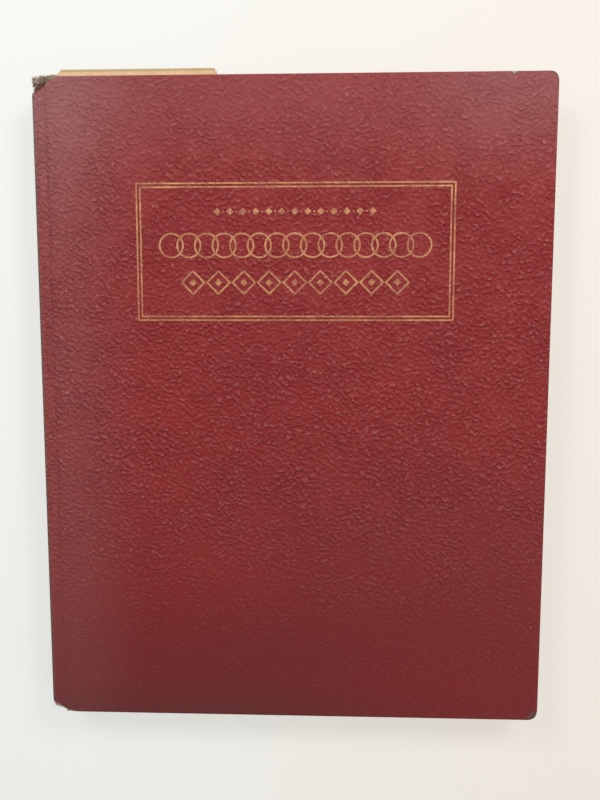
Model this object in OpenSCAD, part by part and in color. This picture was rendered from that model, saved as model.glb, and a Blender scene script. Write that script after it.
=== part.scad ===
// Case-bound stamp album, closed and lying on its back cover.
// X runs from the spine to the fore-edge, Y from the tail to the head, Z from the back cover to the front.
// The origin is the middle of the footprint, on the outer face of the back cover.
// Inside the modules, X is counted from the spine's outer face and Y from the tail edge of the covers.

/* [Leaves] */
// Width of a leaf, from its bound edge to the fore-edge
leaf_w = 215.9; // [160:0.1:240]
// Height of a leaf
leaf_h = 279.4; // [220:0.1:320]
// Thickness of one leaf
leaf_t = 0.14; // [0.1:0.01:0.2]
// Number of leaves in one section
leaves_per_section = 8; // [6:1:12]
// Width of the bound edge that the stitching grips
margin_w = 4.6; // [3.6:0.1:8]
// Thickness of a guard strip, which also spaces the leaves
guard_t = 0.25; // [0.2:0.05:0.5]
// Gap from the gripped margin to a leaf that turns
bend_gap = 0.3; // [0.2:0.05:0.6]

/* [Covers] */
// Thickness of a cover board
board_t = 2.4; // [1.6:0.1:3.2]
// Thickness of the leatherette covering
cloth_t = 0.4; // [0.3:0.05:0.6]
// Thickness of an endpaper pasted to a board
paper_t = 0.15; // [0.1:0.01:0.25]
// Overhang of the cover past the leaves at the fore-edge
fore_edge_square = 5.5; // [3:0.1:8]
// Overhang of the cover past the leaves at head and tail
head_tail_square = 3.3; // [2:0.1:6]
// Width of the covering turned in round the board's edges
turn_in = 15; // [8:1:25]
// Radius of the cover's fore-edge corners
corner_r = 3.5; // [1.5:0.1:8]
// Radius of the cover's edges
edge_r = 0.8; // [0.4:0.1:1.2]
// Gap between a cover and the leaves
cover_gap = 0.3; // [0.2:0.05:1]
// Margin left bare round a pasted-down endpaper
pastedown_margin = 3; // [1.5:0.5:5]
// Width of the mull tab glued under an endpaper
mull_tab_w = 25; // [12:1:40]

/* [Spine and joints] */
// Thickness of the card that stiffens the spine
spine_card_t = 1; // [0.6:0.1:2]
// Radius of the spine's long edges
spine_r = 1; // [0.4:0.1:1.3]
// Depth to which the covering laps over the spine card's long edges
spine_lap = 0.6; // [0.5:0.1:1]
// Hollow between the spine and the back of the leaves
hollow_gap = 0.3; // [0.2:0.05:1]
// Thickness of the paper lining on the back of the leaves
lining_t = 0.25; // [0.1:0.05:0.5]
// Thickness of the mull on the back of the leaves
mull_t = 0.25; // [0.1:0.05:0.5]
// Distance by which the spine lining and mull stop short of head and tail
mull_inset = 10; // [4:1:30]
// Width of the pressed joint between the spine and a board
joint_w = 4.5; // [4:0.1:8]
// Depth of the pressed joint
joint_d = 0.6; // [0.3:0.1:1]
// Clearance of a turning board round the spine's corner
swing_gap = 0.4; // [0.2:0.05:0.6]

/* [Stitching] */
// Number of wire staples through the bound edge
staple_count = 3; // [2:1:5]
// Diameter of the staple wire
wire_d = 0.8; // [0.5:0.1:1]
// Length of a staple's crown
crown_l = 14; // [8:1:24]
// Length of a clinched staple end
clinch_l = 4; // [2:0.5:5]
// Distance from the end staples to the head and tail of the leaves
staple_inset = 45; // [20:1:70]
// Radial clearance of a staple leg in its hole
wire_fit = 0.05; // [0.02:0.01:0.1]

/* [Gold frame and ornament] */
// Width of the outer rule frame
frame_w = 137.2; // [100:0.1:150]
// Height of the outer rule frame
frame_h = 58.6; // [52:0.1:90]
// Distance from the spine's outer face to the frame's centre
frame_x = 113.1; // [100:0.1:130]
// Distance from the cover's head edge to the frame's centre
frame_drop = 74.6; // [45:0.1:150]
// Width of a rule
rule_w = 0.7; // [0.3:0.1:1.2]
// Distance from the outer rule to the inner rule, centre to centre
rule_pitch = 1.6; // [1.4:0.1:3]
// Thickness of the gold foil
foil_t = 0.05; // [0.03:0.01:0.1]
// Width of a line in the ornament
line_w = 0.8; // [0.4:0.1:1.2]
// Height of the two large ornament rows
row_h = 11; // [8:0.1:12]
// Number of rings in the upper large row
ring_count = 15; // [5:1:18]
// Length of the upper large row
ring_row_w = 118.4; // [60:0.1:128]
// Number of lozenges in the lower large row
lozenge_count = 9; // [3:1:11]
// Length of the lower large row
lozenge_row_w = 99.8; // [40:0.1:128]
// Height of a lozenge in the small row
bead_h = 3.2; // [2:0.1:5]
// Number of lozenges in the small row
bead_count = 13; // [3:1:15]
// Length of the small row
bead_row_w = 70.5; // [30:0.1:128]
// Height of the small row above the frame's centre
bead_row_y = 17.3; // [14:0.1:40]
// Height of the upper large row above the frame's centre
ring_row_y = 2.9; // [1:0.1:20]
// Depth of the lower large row below the frame's centre
lozenge_row_y = 13; // [11:0.1:30]

/* [Tucked-in envelope] */
// Width of the envelope
envelope_w = 71; // [50:1:100]
// Length of the envelope
envelope_l = 133; // [90:1:180]
// Thickness of the envelope without its flap
envelope_body_t = 0.45; // [0.3:0.05:0.8]
// Thickness of the envelope's flap
envelope_flap_t = 0.15; // [0.1:0.05:0.3]
// Length of the flap
flap_l = 22; // [12:1:40]
// Radius of the flap's corners
flap_r = 9; // [4:1:15]
// Radius of the envelope's own corners
envelope_r = 1; // [0.5:0.1:3]
// Distance from the spine's outer face to the envelope
envelope_x = 8.4; // [8.4:0.1:40]
// Length of envelope that stands proud of the cover's head edge
envelope_proud = 5.2; // [2:0.1:10]
// Gap under the envelope
envelope_seat_gap = 0.2; // [0.1:0.05:0.4]
// Gap over the envelope
envelope_top_gap = 0.3; // [0.2:0.05:0.6]

/* [Hidden] */
$fn = 64;

cloth_color = "#8a3a3c";
board_color = "#8d8577";
paper_color = "#e9dfc4";
endpaper_color = "#e4d8bb";
guard_color = "#cdb891";
mull_color = "#ded8c8";
gold_color = "#c09d68";
wire_color = "#9a9a98";
manila_color = "#d5ab72";

// Leaves that turn one by one: flyleaf, title leaf and three album leaves
single_count = 5;
// Sections that turn with the front cover, and sections in all
turning_sections = 2;
section_count = 8;

// Thickness of what lies on the table side, from the outer face inwards
board_top = cloth_t + board_t;
cover_t = board_top + cloth_t + paper_t;
section_t = leaves_per_section * leaf_t;
envelope_t = envelope_body_t + envelope_flap_t;
envelope_slot = envelope_seat_gap + envelope_t + envelope_top_gap;

// Levels of the leaves, counted up from the table
back_flyleaf_z = cover_t + cover_gap;
fixed_z = back_flyleaf_z + leaf_t;
fixed_count = section_count - turning_sections;
fixed_top = fixed_z + fixed_count * section_t + (fixed_count - 1) * guard_t;
envelope_z = fixed_top + envelope_seat_gap;
turning_z = fixed_top + envelope_slot;
single_z = turning_z + turning_sections * (section_t + guard_t);
block_top = single_z + single_count * leaf_t + (single_count - 1) * guard_t;
album_t = block_top + cover_gap + cover_t;

// Places across the album
spine_inner_x = cloth_t + spine_card_t + cloth_t;
lining_x = spine_inner_x + hollow_gap;
mull_x = lining_x + lining_t;
block_x = mull_x + mull_t;
margin_end_x = block_x + margin_w;
turning_x = margin_end_x + bend_gap;
fore_edge_x = block_x + leaf_w;
case_w = fore_edge_x + fore_edge_square;
case_h = leaf_h + 2 * head_tail_square;
spine_cap_w = cloth_t + spine_card_t + spine_lap;
board_x = spine_cap_w + joint_w;
staple_x = block_x + margin_w / 2;

// The cover turns about the middle of its own thickness.
// The axis is set so that the board's edge clears the spine's corner by swing_gap.
swing_reach = board_x - swing_gap;
hinge_x = (pow(swing_reach, 2) - pow(cover_t / 2, 2)) / (2 * swing_reach);
swing_r = swing_reach - hinge_x;
joint_end_x = hinge_x + sqrt(pow(swing_r, 2) - pow(cover_t / 2 - joint_d, 2));

footprint_h = case_h + envelope_proud;
// Height of a drilled hole or a cut that runs past both faces
past = 1;
joint_steps = 8;

module from_spine() translate([-case_w / 2, -footprint_h / 2, 0]) children();

module on_front() translate([0, 0, album_t]) mirror([0, 0, 1]) children();

module plate(x0, x1, y0, y1, z0, t) translate([x0, y0, z0]) cube([x1 - x0, y1 - y0, t]);

// Level of a section's lower face; section 1 is the uppermost
function section_z(i) = i > turning_sections
  ? fixed_z + (section_count - i) * (section_t + guard_t)
  : turning_z + (turning_sections - i) * (section_t + guard_t);

// Level of a single leaf's lower face; leaf 1 is the flyleaf
function single_leaf_z(i) = single_z + (single_count - i) * (leaf_t + guard_t);

// Rectangle with its two far corners rounded: the fore-edge side of a cover
module fore_edge_outline(x0, x1, y0, y1, r) {
  translate([x0, y0]) square([x1 - x0 - r, y1 - y0]);
  translate([x0, y0 + r]) square([x1 - x0, y1 - y0 - 2 * r]);
  for (y = [y0 + r, y1 - r]) translate([x1 - r, y]) circle(r);
}

// Rectangle with four rounded corners
module rounded_rect(w, h, r) {
  translate([r, 0]) square([w - 2 * r, h]);
  translate([0, r]) square([w, h - 2 * r]);
  for (x = [r, w - r], y = [r, h - r]) translate([x, y]) circle(r);
}

// Solid outer form of a covered board, outer face down
module cover_form() {
  covered_t = board_top + cloth_t;
  intersection() {
    linear_extrude(covered_t) fore_edge_outline(board_x, case_w, 0, case_h, corner_r);
    translate([0, case_h, 0]) rotate([90, 0, 0]) linear_extrude(case_h)
      fore_edge_outline(board_x, case_w, 0, covered_t, edge_r);
    translate([board_x, 0, 0]) rotate([90, 0, 90]) linear_extrude(case_w - board_x)
      rounded_rect(case_h, covered_t, edge_r);
  }
}

module cover_board() {
  translate([0, 0, cloth_t]) linear_extrude(board_t)
    fore_edge_outline(board_x, case_w - cloth_t, cloth_t, case_h - cloth_t, corner_r - cloth_t);
}

// The space inside the turned-in covering, on the inner face of the board
module turn_in_window(t) {
  plate(board_x - past, case_w - turn_in, turn_in, case_h - turn_in, board_top, t);
}

module cover_cloth() {
  difference() {
    cover_form();
    cover_board();
    turn_in_window(cloth_t + past);
  }
}

module cover_mull_tab() {
  plate(board_x, board_x + mull_tab_w, turn_in, case_h - turn_in, board_top, cloth_t);
}

// The endpaper lies over the turned-in covering and the mull tab, and is pressed down to the board between them
module cover_pastedown() {
  low_x0 = board_x + mull_tab_w;
  low_x1 = case_w - turn_in;
  ring_z = board_top + cloth_t;
  difference() {
    plate(board_x + pastedown_margin / 2, case_w - pastedown_margin,
          pastedown_margin, case_h - pastedown_margin, ring_z, paper_t);
    plate(low_x0, low_x1, turn_in, case_h - turn_in, board_top, cloth_t + paper_t + past);
  }
  difference() {
    plate(low_x0, low_x1, turn_in, case_h - turn_in, board_top, cloth_t + paper_t);
    plate(low_x0 + paper_t, low_x1 - paper_t, turn_in + paper_t, case_h - turn_in - paper_t,
          board_top + paper_t, cloth_t + past);
  }
}

// Places of the staples' middles along the bound edge
function staple_y(i) = head_tail_square + staple_inset
  + i * (leaf_h - 2 * staple_inset) / (staple_count - 1);

module staple_holes(z0, t) {
  for (i = [0 : staple_count - 1], side = [-1, 1])
    translate([staple_x, staple_y(i) + side * crown_l / 2, z0 - past])
      cylinder(d = wire_d + 2 * wire_fit, h = t + 2 * past);
}

// A piece of the bound edge, with its stitching holes
module bound_plate(x1, z0, t) {
  difference() {
    plate(block_x, x1, head_tail_square, head_tail_square + leaf_h, z0, t);
    staple_holes(z0, t);
  }
}

module turning_plate(z0, t) {
  plate(turning_x, fore_edge_x, head_tail_square, head_tail_square + leaf_h, z0, t);
}

// ---- Front cover ----

module front_board() color(board_color) from_spine() on_front() cover_board();

module front_leatherette() color(cloth_color) from_spine() on_front() cover_cloth();

module front_mull_tab() color(mull_color) from_spine() on_front() cover_mull_tab();

module front_pastedown() color(endpaper_color) from_spine() on_front() cover_pastedown();

module on_frame_centre() {
  from_spine() translate([frame_x, case_h - frame_drop, album_t]) linear_extrude(foil_t) children();
}

// Thin rectangular line whose middle is w by h
module rule(w, h) {
  difference() {
    square([w + rule_w, h + rule_w], center = true);
    square([w - rule_w, h - rule_w], center = true);
  }
}

module gilt_outer_rule() color(gold_color) on_frame_centre() rule(frame_w, frame_h);

module gilt_inner_rule() {
  color(gold_color) on_frame_centre() rule(frame_w - 2 * rule_pitch, frame_h - 2 * rule_pitch);
}

function row_x(i, count, width, item_w) = (i / (count - 1) - 0.5) * (width - item_w);

module lozenge(w, h) polygon([[-w / 2, 0], [0, -h / 2], [w / 2, 0], [0, h / 2]]);

module open_lozenge(w, h) {
  difference() {
    lozenge(w, h);
    lozenge(w - 2.8 * line_w, h - 2.8 * line_w);
  }
}

module open_ring(d) {
  difference() {
    circle(d = d);
    circle(d = d - 2 * line_w);
  }
}

// Rows of traditional ornament: beads and lozenges, linked rings, and a chain of lozenges
module ornament_rows() {
  translate([0, bead_row_y]) {
    for (i = [0 : bead_count - 1])
      translate([row_x(i, bead_count, bead_row_w, bead_h), 0]) lozenge(bead_h, bead_h);
    for (i = [0 : bead_count - 2])
      translate([row_x(i + 0.5, bead_count, bead_row_w, bead_h), 0]) circle(d = line_w);
  }
  translate([0, ring_row_y])
    for (i = [0 : ring_count - 1])
      translate([row_x(i, ring_count, ring_row_w, row_h), 0]) open_ring(row_h);
  translate([0, -lozenge_row_y])
    for (i = [0 : lozenge_count - 1])
      translate([row_x(i, lozenge_count, lozenge_row_w, row_h), 0]) {
        open_lozenge(row_h, row_h);
        lozenge(bead_h, bead_h);
      }
}

module gilt_ornament() color(gold_color) on_frame_centre() ornament_rows();

// ---- Back cover ----

module back_board() color(board_color) from_spine() cover_board();

module back_leatherette() color(cloth_color) from_spine() cover_cloth();

module back_mull_tab() color(mull_color) from_spine() cover_mull_tab();

module back_pastedown() color(endpaper_color) from_spine() cover_pastedown();

// ---- Spine ----

module spine_card() {
  color(board_color) from_spine()
    plate(cloth_t, cloth_t + spine_card_t, cloth_t, case_h - cloth_t, cloth_t, album_t - 2 * cloth_t);
}

module spine_leatherette() {
  inner_t = album_t - 2 * cloth_t;
  color(cloth_color) from_spine() difference() {
    translate([0, case_h, 0]) rotate([90, 0, 0]) linear_extrude(case_h)
      mirror([1, 0]) translate([-spine_cap_w, 0])
        fore_edge_outline(0, spine_cap_w, 0, album_t, spine_r);
    plate(cloth_t, cloth_t + spine_card_t, cloth_t, case_h - cloth_t, cloth_t, inner_t);
    plate(spine_inner_x, spine_cap_w + past, -past, case_h + past, cloth_t, inner_t);
    plate(cloth_t + spine_card_t, spine_cap_w + past, turn_in, case_h - turn_in, cloth_t, inner_t);
  }
}

// Depth of the joint below the cover's face, from 0 at the spine to joint_d in the groove
function joint_dip(x) = x > spine_cap_w + joint_w / 2 ? joint_d
  : joint_d * (1 - cos(180 * (x - spine_cap_w) / (joint_w / 2))) / 2;

joint_xs = [for (i = [0 : joint_steps]) spine_cap_w + i * (joint_end_x - spine_cap_w) / joint_steps];

module joint_cloth() {
  translate([0, case_h, 0]) rotate([90, 0, 0]) linear_extrude(case_h)
    polygon(concat([for (x = joint_xs) [x, joint_dip(x)]],
                   [for (i = [joint_steps : -1 : 0]) [joint_xs[i], joint_dip(joint_xs[i]) + cloth_t]]));
}

module front_joint_leatherette() color(cloth_color) from_spine() on_front() joint_cloth();

module back_joint_leatherette() color(cloth_color) from_spine() joint_cloth();

module spine_strip(x, t) {
  y0 = head_tail_square + mull_inset;
  plate(x, x + t, y0, case_h - y0, back_flyleaf_z, block_top - back_flyleaf_z);
}

module spine_lining() color(paper_color) from_spine() spine_strip(lining_x, lining_t);

module spine_mull() color(mull_color) from_spine() spine_strip(mull_x, mull_t);

// ---- Bound edge ----

// The gripped edges of the leaves that turn
module gripped_margins() {
  color(paper_color) from_spine() {
    for (i = [1 : single_count]) bound_plate(margin_end_x, single_leaf_z(i), leaf_t);
    for (i = [1 : turning_sections]) bound_plate(margin_end_x, section_z(i), section_t);
  }
}

// Strips between the leaves that make room for mounted stamps
module guard_strips() {
  color(guard_color) from_spine() {
    for (i = [1 : single_count - 1]) bound_plate(margin_end_x, single_leaf_z(i) - guard_t, guard_t);
    for (i = [1 : section_count])
      if (i != turning_sections + 1) bound_plate(margin_end_x, section_z(i) + section_t, guard_t);
    bound_plate(margin_end_x, fixed_top, envelope_slot);
  }
}

module staple() {
  leg_z0 = back_flyleaf_z - wire_d / 2;
  leg_z1 = block_top + wire_d / 2;
  for (side = [-1, 1]) {
    translate([0, side * crown_l / 2, leg_z0]) cylinder(d = wire_d, h = leg_z1 - leg_z0);
    for (z = [leg_z0, leg_z1]) translate([0, side * crown_l / 2, z]) sphere(d = wire_d);
    translate([0, side * (crown_l / 2 - clinch_l / 2), leg_z0]) rotate([90, 0, 0])
      cylinder(d = wire_d, h = clinch_l, center = true);
  }
  translate([0, 0, leg_z1]) rotate([90, 0, 0]) cylinder(d = wire_d, h = crown_l, center = true);
}

module stitching_staples() {
  color(wire_color) from_spine()
    for (i = [0 : staple_count - 1]) translate([staple_x, staple_y(i), 0]) staple();
}

// ---- Leaves ----

module single_leaf(i) from_spine() turning_plate(single_leaf_z(i), leaf_t);

module front_flyleaf() color(endpaper_color) single_leaf(1);

module title_leaf() color(paper_color) single_leaf(2);

module album_leaf(i) color(paper_color) single_leaf(i + 2);

module leaf_section(i) {
  color(paper_color) from_spine() {
    if (i > turning_sections) bound_plate(fore_edge_x, section_z(i), section_t);
    else turning_plate(section_z(i), section_t);
  }
}

module back_flyleaf() color(endpaper_color) from_spine() bound_plate(fore_edge_x, back_flyleaf_z, leaf_t);

// ---- Envelope ----

// The flap is folded over the face at the head end
module stamp_envelope() {
  color(manila_color) from_spine()
    translate([envelope_x, case_h + envelope_proud - envelope_l, envelope_z]) {
      linear_extrude(envelope_body_t) rounded_rect(envelope_w, envelope_l, envelope_r);
      translate([0, 0, envelope_body_t]) linear_extrude(envelope_flap_t) intersection() {
        rounded_rect(envelope_w, envelope_l, envelope_r);
        translate([0, envelope_l]) rotate(-90) fore_edge_outline(0, flap_l, 0, envelope_w, flap_r);
      }
    }
}

front_board();
front_leatherette();
front_mull_tab();
front_pastedown();
gilt_outer_rule();
gilt_inner_rule();
gilt_ornament();
back_board();
back_leatherette();
back_mull_tab();
back_pastedown();
spine_card();
spine_leatherette();
front_joint_leatherette();
back_joint_leatherette();
spine_lining();
spine_mull();
gripped_margins();
guard_strips();
stitching_staples();
front_flyleaf();
title_leaf();
for (i = [1 : single_count - 2])
  album_leaf(i);
for (i = [1 : section_count])
  leaf_section(i);
back_flyleaf();
stamp_envelope();
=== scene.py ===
"""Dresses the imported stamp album: covering, leaves, endpapers, foil, envelope, light and camera."""
import math

import bmesh
import bpy
import numpy as np
from mathutils import Matrix, Vector, noise


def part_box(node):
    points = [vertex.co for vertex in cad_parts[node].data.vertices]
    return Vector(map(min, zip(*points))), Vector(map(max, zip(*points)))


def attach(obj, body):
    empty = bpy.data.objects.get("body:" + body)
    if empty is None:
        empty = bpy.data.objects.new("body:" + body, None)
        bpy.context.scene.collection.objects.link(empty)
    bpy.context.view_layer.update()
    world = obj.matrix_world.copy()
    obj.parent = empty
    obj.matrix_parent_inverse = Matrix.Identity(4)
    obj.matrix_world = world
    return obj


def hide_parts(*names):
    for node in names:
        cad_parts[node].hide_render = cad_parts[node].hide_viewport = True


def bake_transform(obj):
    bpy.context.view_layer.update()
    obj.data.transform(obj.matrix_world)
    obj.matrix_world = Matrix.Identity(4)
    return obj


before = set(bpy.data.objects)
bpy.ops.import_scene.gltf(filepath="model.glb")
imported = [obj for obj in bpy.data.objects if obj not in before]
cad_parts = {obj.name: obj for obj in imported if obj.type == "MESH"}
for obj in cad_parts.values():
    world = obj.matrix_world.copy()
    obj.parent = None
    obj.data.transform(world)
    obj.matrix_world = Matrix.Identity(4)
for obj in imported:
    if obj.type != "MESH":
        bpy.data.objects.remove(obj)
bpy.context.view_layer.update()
MM = 0.001
rng = np.random.default_rng(7)

# ---- Sizes taken from the frame ----

spine_lo, spine_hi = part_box("spine_leatherette")
front_lo, front_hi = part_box("front_leatherette")
flyleaf_lo, flyleaf_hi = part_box("front_flyleaf")
margin_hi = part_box("gripped_margins")[1]
album_t = spine_hi.z
cover_w = front_hi.x - spine_lo.x
cover_h = spine_hi.y - spine_lo.y
covered_t = front_hi.z - front_lo.z
board_x = front_lo.x - spine_lo.x


def spine_frame(x, y, z):
    """A point counted from the spine's outer face and the tail edge, in the row frame."""
    return (spine_lo.x + x, spine_lo.y + y, z)


def smooth(lo, hi, x):
    """0 below lo, 1 above hi, and a smooth step between them."""
    t = np.clip((np.asarray(x, float) - lo) / (hi - lo), 0, 1)
    return t * t * (3 - 2 * t)


def fading(lo, hi, x):
    """1 below lo, 0 above hi, and a smooth step between them."""
    return 1 - smooth(lo, hi, x)


# ---- Camera ----

# The photograph was taken from about 335 mm, a little towards the head and the fore-edge
IMAGE_H = 800
FOCAL_PX = 749
SENSOR_H = 36
CLIP_START = 10 * MM
TILT_X, TILT_Y, TILT_Z = math.radians(6.0), math.radians(-2.04), math.radians(-0.24)
CAMERA_SHIFT = Vector((-3.4, -4.0, -331.3)) * MM


def add_camera():
    turn = Matrix.Rotation(TILT_Z, 3, "Z") @ Matrix.Rotation(TILT_Y, 3, "Y")
    turn_back = (turn @ Matrix.Rotation(TILT_X, 3, "X")).transposed()
    face_centre = Vector((spine_lo.x + cover_w / 2, (spine_hi.y + spine_lo.y) / 2, album_t))
    data = bpy.data.cameras.new("camera")
    data.sensor_fit = "VERTICAL"
    data.sensor_height = SENSOR_H
    data.lens = FOCAL_PX / IMAGE_H * SENSOR_H
    data.clip_start = CLIP_START
    camera = bpy.data.objects.new("camera", data)
    camera.matrix_world = Matrix.Translation(face_centre - turn_back @ CAMERA_SHIFT) @ turn_back.to_4x4()
    bpy.context.scene.collection.objects.link(camera)
    bpy.context.scene.camera = camera


# ---- Node helper ----

class Shader:
    """A material's node tree, with one short call for each kind of node."""

    def __init__(self, name):
        self.material = bpy.data.materials.new(name)
        self.material.use_nodes = True
        self.tree = self.material.node_tree
        self.bsdf = self.tree.nodes["Principled BSDF"]
        self.output = self.tree.nodes["Material Output"]

    def put(self, node, socket, value):
        """Links value if it is a socket, and sets it if not."""
        if isinstance(value, bpy.types.NodeSocket):
            self.tree.links.new(value, node.inputs[socket])
        elif value is not None:
            if isinstance(value, tuple) and len(value) == 3 and node.inputs[socket].type == "RGBA":
                value = (*value, 1)
            node.inputs[socket].default_value = value

    def node(self, kind, out=0, settings=None, **inputs):
        """An output of a new node. An input goes by its name, or by i and its index."""
        node = self.tree.nodes.new(kind)
        for key, value in (settings or {}).items():
            setattr(node, key, value)
        for key, value in inputs.items():
            self.put(node, int(key[1:]) if key[0] == "i" and key[1:].isdigit() else key, value)
        return node.outputs[out]

    def uv(self):
        """The place on a piece's flat plan, in metres."""
        return self.node("ShaderNodeUVMap", settings={"uv_map": "plan"})

    def place(self):
        """The place in the piece's own space, in metres."""
        return self.node("ShaderNodeTexCoord", "Object")

    def attribute(self, name):
        return self.node("ShaderNodeAttribute", "Fac", settings={"attribute_name": name})

    def split(self, vector):
        """The x, y and z of a vector."""
        node = self.tree.nodes.new("ShaderNodeSeparateXYZ")
        self.put(node, 0, vector)
        return node.outputs

    def vector_math(self, operation, a, b):
        return self.node("ShaderNodeVectorMath", settings={"operation": operation}, i0=a, i1=b)

    def scaled(self, vector, x, y, z=1.0):
        return self.vector_math("MULTIPLY", vector, (x, y, z))

    def warped(self, vector, scale, amount):
        """The vector moved about by a noise of its own."""
        colour = self.node("ShaderNodeTexNoise", "Color", Vector=vector, Scale=scale, Detail=2.0)
        centred = self.vector_math("SUBTRACT", colour, (0.5, 0.5, 0.5))
        return self.vector_math("ADD", vector, self.scaled(centred, amount, amount, amount))

    def noise(self, vector, scale, detail, rough=0.5):
        return self.node("ShaderNodeTexNoise", "Fac", Vector=vector, Scale=scale, Detail=detail,
                         Roughness=rough)

    def cells(self, vector, scale, feature="DISTANCE_TO_EDGE"):
        return self.node("ShaderNodeTexVoronoi", "Distance", settings={"feature": feature}, Vector=vector,
                         Scale=scale)

    def waves(self, vector, scale, frequency, along):
        """Ripples of about one width. along is 0 where they run every way, and 1 where all run across Y."""
        return self.node("ShaderNodeTexGabor", "Value", settings={"gabor_type": "2D"}, Vector=vector,
                         Scale=scale, Frequency=frequency, Anisotropy=along, Orientation=math.pi / 2)

    def math(self, operation, a, b=None, c=None, clamp=False):
        settings = {"operation": operation, "use_clamp": clamp}
        return self.node("ShaderNodeMath", settings=settings, i0=a, i1=b, i2=c)

    def times(self, a, b, clamp=False):
        return self.math("MULTIPLY", a, b, clamp=clamp)

    def minus(self, a, b):
        return self.math("SUBTRACT", a, b)

    def larger(self, a, b):
        return self.math("MAXIMUM", a, b)

    def below(self, a, b):
        """1 where a is below b, and 0 elsewhere."""
        return self.math("LESS_THAN", a, b)

    def away(self, value, centre):
        """How far value is from centre."""
        return self.math("ABSOLUTE", self.minus(value, centre))

    def band(self, value, centre, half):
        """1 where value is within half of centre."""
        return self.below(self.away(value, centre), half)

    def box_line(self, x, y, half_w, half_h, line):
        """1 on the outline of a box, where x and y are distances from its middle."""
        edge = self.larger(self.minus(x, half_w), self.minus(y, half_h))
        return self.band(edge, 0.0, line / 2)

    def step(self, value, lo, hi, to_lo=0.0, to_hi=1.0):
        return self.node("ShaderNodeMapRange", settings={"interpolation_type": "SMOOTHSTEP"},
                         i0=value, i1=lo, i2=hi, i3=to_lo, i4=to_hi)

    def mix(self, factor, a, b):
        return self.node("ShaderNodeMix", 2, settings={"data_type": "RGBA"}, i0=factor, i6=a, i7=b)

    def lerp(self, factor, a, b):
        """Mixes two numbers, as mix does two colours."""
        return self.node("ShaderNodeMix", i0=factor, i2=a, i3=b)

    def bump(self, height, distance, strength=1.0):
        return self.node("ShaderNodeBump", Height=height, Distance=distance, Strength=strength)

    def finish(self, **inputs):
        """Sets inputs of the main shader, with _ for each space in a name."""
        for key, value in inputs.items():
            self.put(self.bsdf, key.replace("_", " "), value)
        return self.material


def rgb(*display):
    """A colour written as 0-255 display values, as the linear colour that a shader takes."""
    return tuple(((c / 255 + 0.055) / 1.055) ** 2.4 if c > 10 else c / 255 / 12.92 for c in display)


# ---- Materials: the covering and its foil ----

# The third colour, for calm grain, is a deeper red that stands in for the painted shade of the grain's
# hollows
MAROON, MAROON_LIGHT, MAROON_CALM_PAINTED_SHADE = rgb(127, 27, 30), rgb(133, 32, 32), rgb(127, 18, 22)
# Painted shade for the grain's hollows, and a painted highlight for its tips
GRAIN_PAINTED_SHADE, GRAIN_PAINTED_HIGHLIGHT = rgb(126, 8, 15), rgb(172, 98, 96)
SCUFF_DARK, SCUFF_LIGHT, BARE_CLOTH = rgb(82, 54, 42), rgb(122, 92, 76), rgb(190, 166, 144)
# The first two colours are painted sheen and painted shade, mixed over the cover's colour
PAINTED_SHEEN, PAINTED_SHADE, SPECK = rgb(150, 128, 128), rgb(46, 34, 34), rgb(198, 152, 142)
GRAIN_D = 0.72 * MM


def leatherette_material():
    """Maroon coated cloth with a pressed, wrinkled grain, rubbed pale and brown at its edges and corners."""
    s = Shader("leatherette")
    uv = s.uv()
    calm = s.attribute("calm")

    # The grain: pebbles of two sizes and short folds, deeper in patches, and shallow where it is calm
    bent = s.warped(s.warped(uv, 55, 0.007), 240, 0.0021)
    blotch = s.step(s.noise(uv, 210, 1.0), 0.36, 0.56, 0.65, 0.0)
    pebble = s.lerp(blotch, s.step(s.cells(s.scaled(bent, 0.68, 1.0), 450), 0.0, 0.34), 0.9)
    small = s.step(s.cells(s.scaled(bent, 0.8, 1.0), 900), 0.0, 0.26)
    fold = s.step(s.waves(s.warped(uv, 240, 0.0012), 330, 1.2, 0.28), 0.32, 0.68)
    relief = s.math("MULTIPLY_ADD", small, 0.2, s.times(fold, 0.56))
    relief = s.math("MULTIPLY_ADD", pebble, 0.36, relief)
    patch = s.step(s.noise(uv, 60, 2.0), 0.3, 0.62, 0.5, 1.05)
    shown = s.times(patch, s.minus(1.0, calm))

    # Its colour: painted shade in the hollows, and a painted highlight on the tips
    tone = s.mix(s.step(s.noise(uv, 22, 3.0, 0.55), 0.35, 0.65), MAROON, MAROON_LIGHT)
    # Where the grain is calm, a deeper red stands in for the painted shade of its hollows
    tone = s.mix(s.step(calm, 0.3, 0.8), tone, MAROON_CALM_PAINTED_SHADE)
    tone = s.mix(s.times(shown, s.step(relief, 0.1, 0.6, 0.6, 0.0)), tone, GRAIN_PAINTED_SHADE)
    tone = s.mix(s.times(shown, s.step(relief, 0.7, 1.05, 0.0, 0.5)), tone, GRAIN_PAINTED_HIGHLIGHT)

    # Wear: scuffed through the coating, then down to bare cloth; along the spine's edge the scuff colour is
    # partly painted shade
    wear = s.attribute("wear")
    ragged = s.noise(uv, 900, 4.0, 0.7)
    scuff = s.step(s.math("ADD", wear, s.times(ragged, 0.7)), 0.82, 1.02)
    bare = s.step(s.math("ADD", wear, s.times(ragged, 0.5)), 1.12, 1.24)
    tone = s.mix(scuff, tone, s.mix(s.step(ragged, 0.35, 0.65), SCUFF_DARK, SCUFF_LIGHT))
    tone = s.mix(bare, tone, BARE_CLOTH)

    # Painted sheen towards the head, painted shade towards the tail, and a few pale specks over all of it
    tone = s.mix(s.attribute("painted_sheen"), tone, PAINTED_SHEEN)
    tone = s.mix(s.attribute("painted_shade"), tone, PAINTED_SHADE)
    tone = s.mix(s.step(s.cells(uv, 62, "F1"), 0.016, 0.03, 0.4, 0.0), tone, SPECK)
    rough = s.lerp(scuff, s.step(relief, 0.2, 1.0, 0.62, 0.5), 0.85)
    return s.finish(Base_Color=tone, Roughness=rough, Specular_IOR_Level=0.32,
                    Normal=s.bump(s.times(relief, shown), GRAIN_D))


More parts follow.
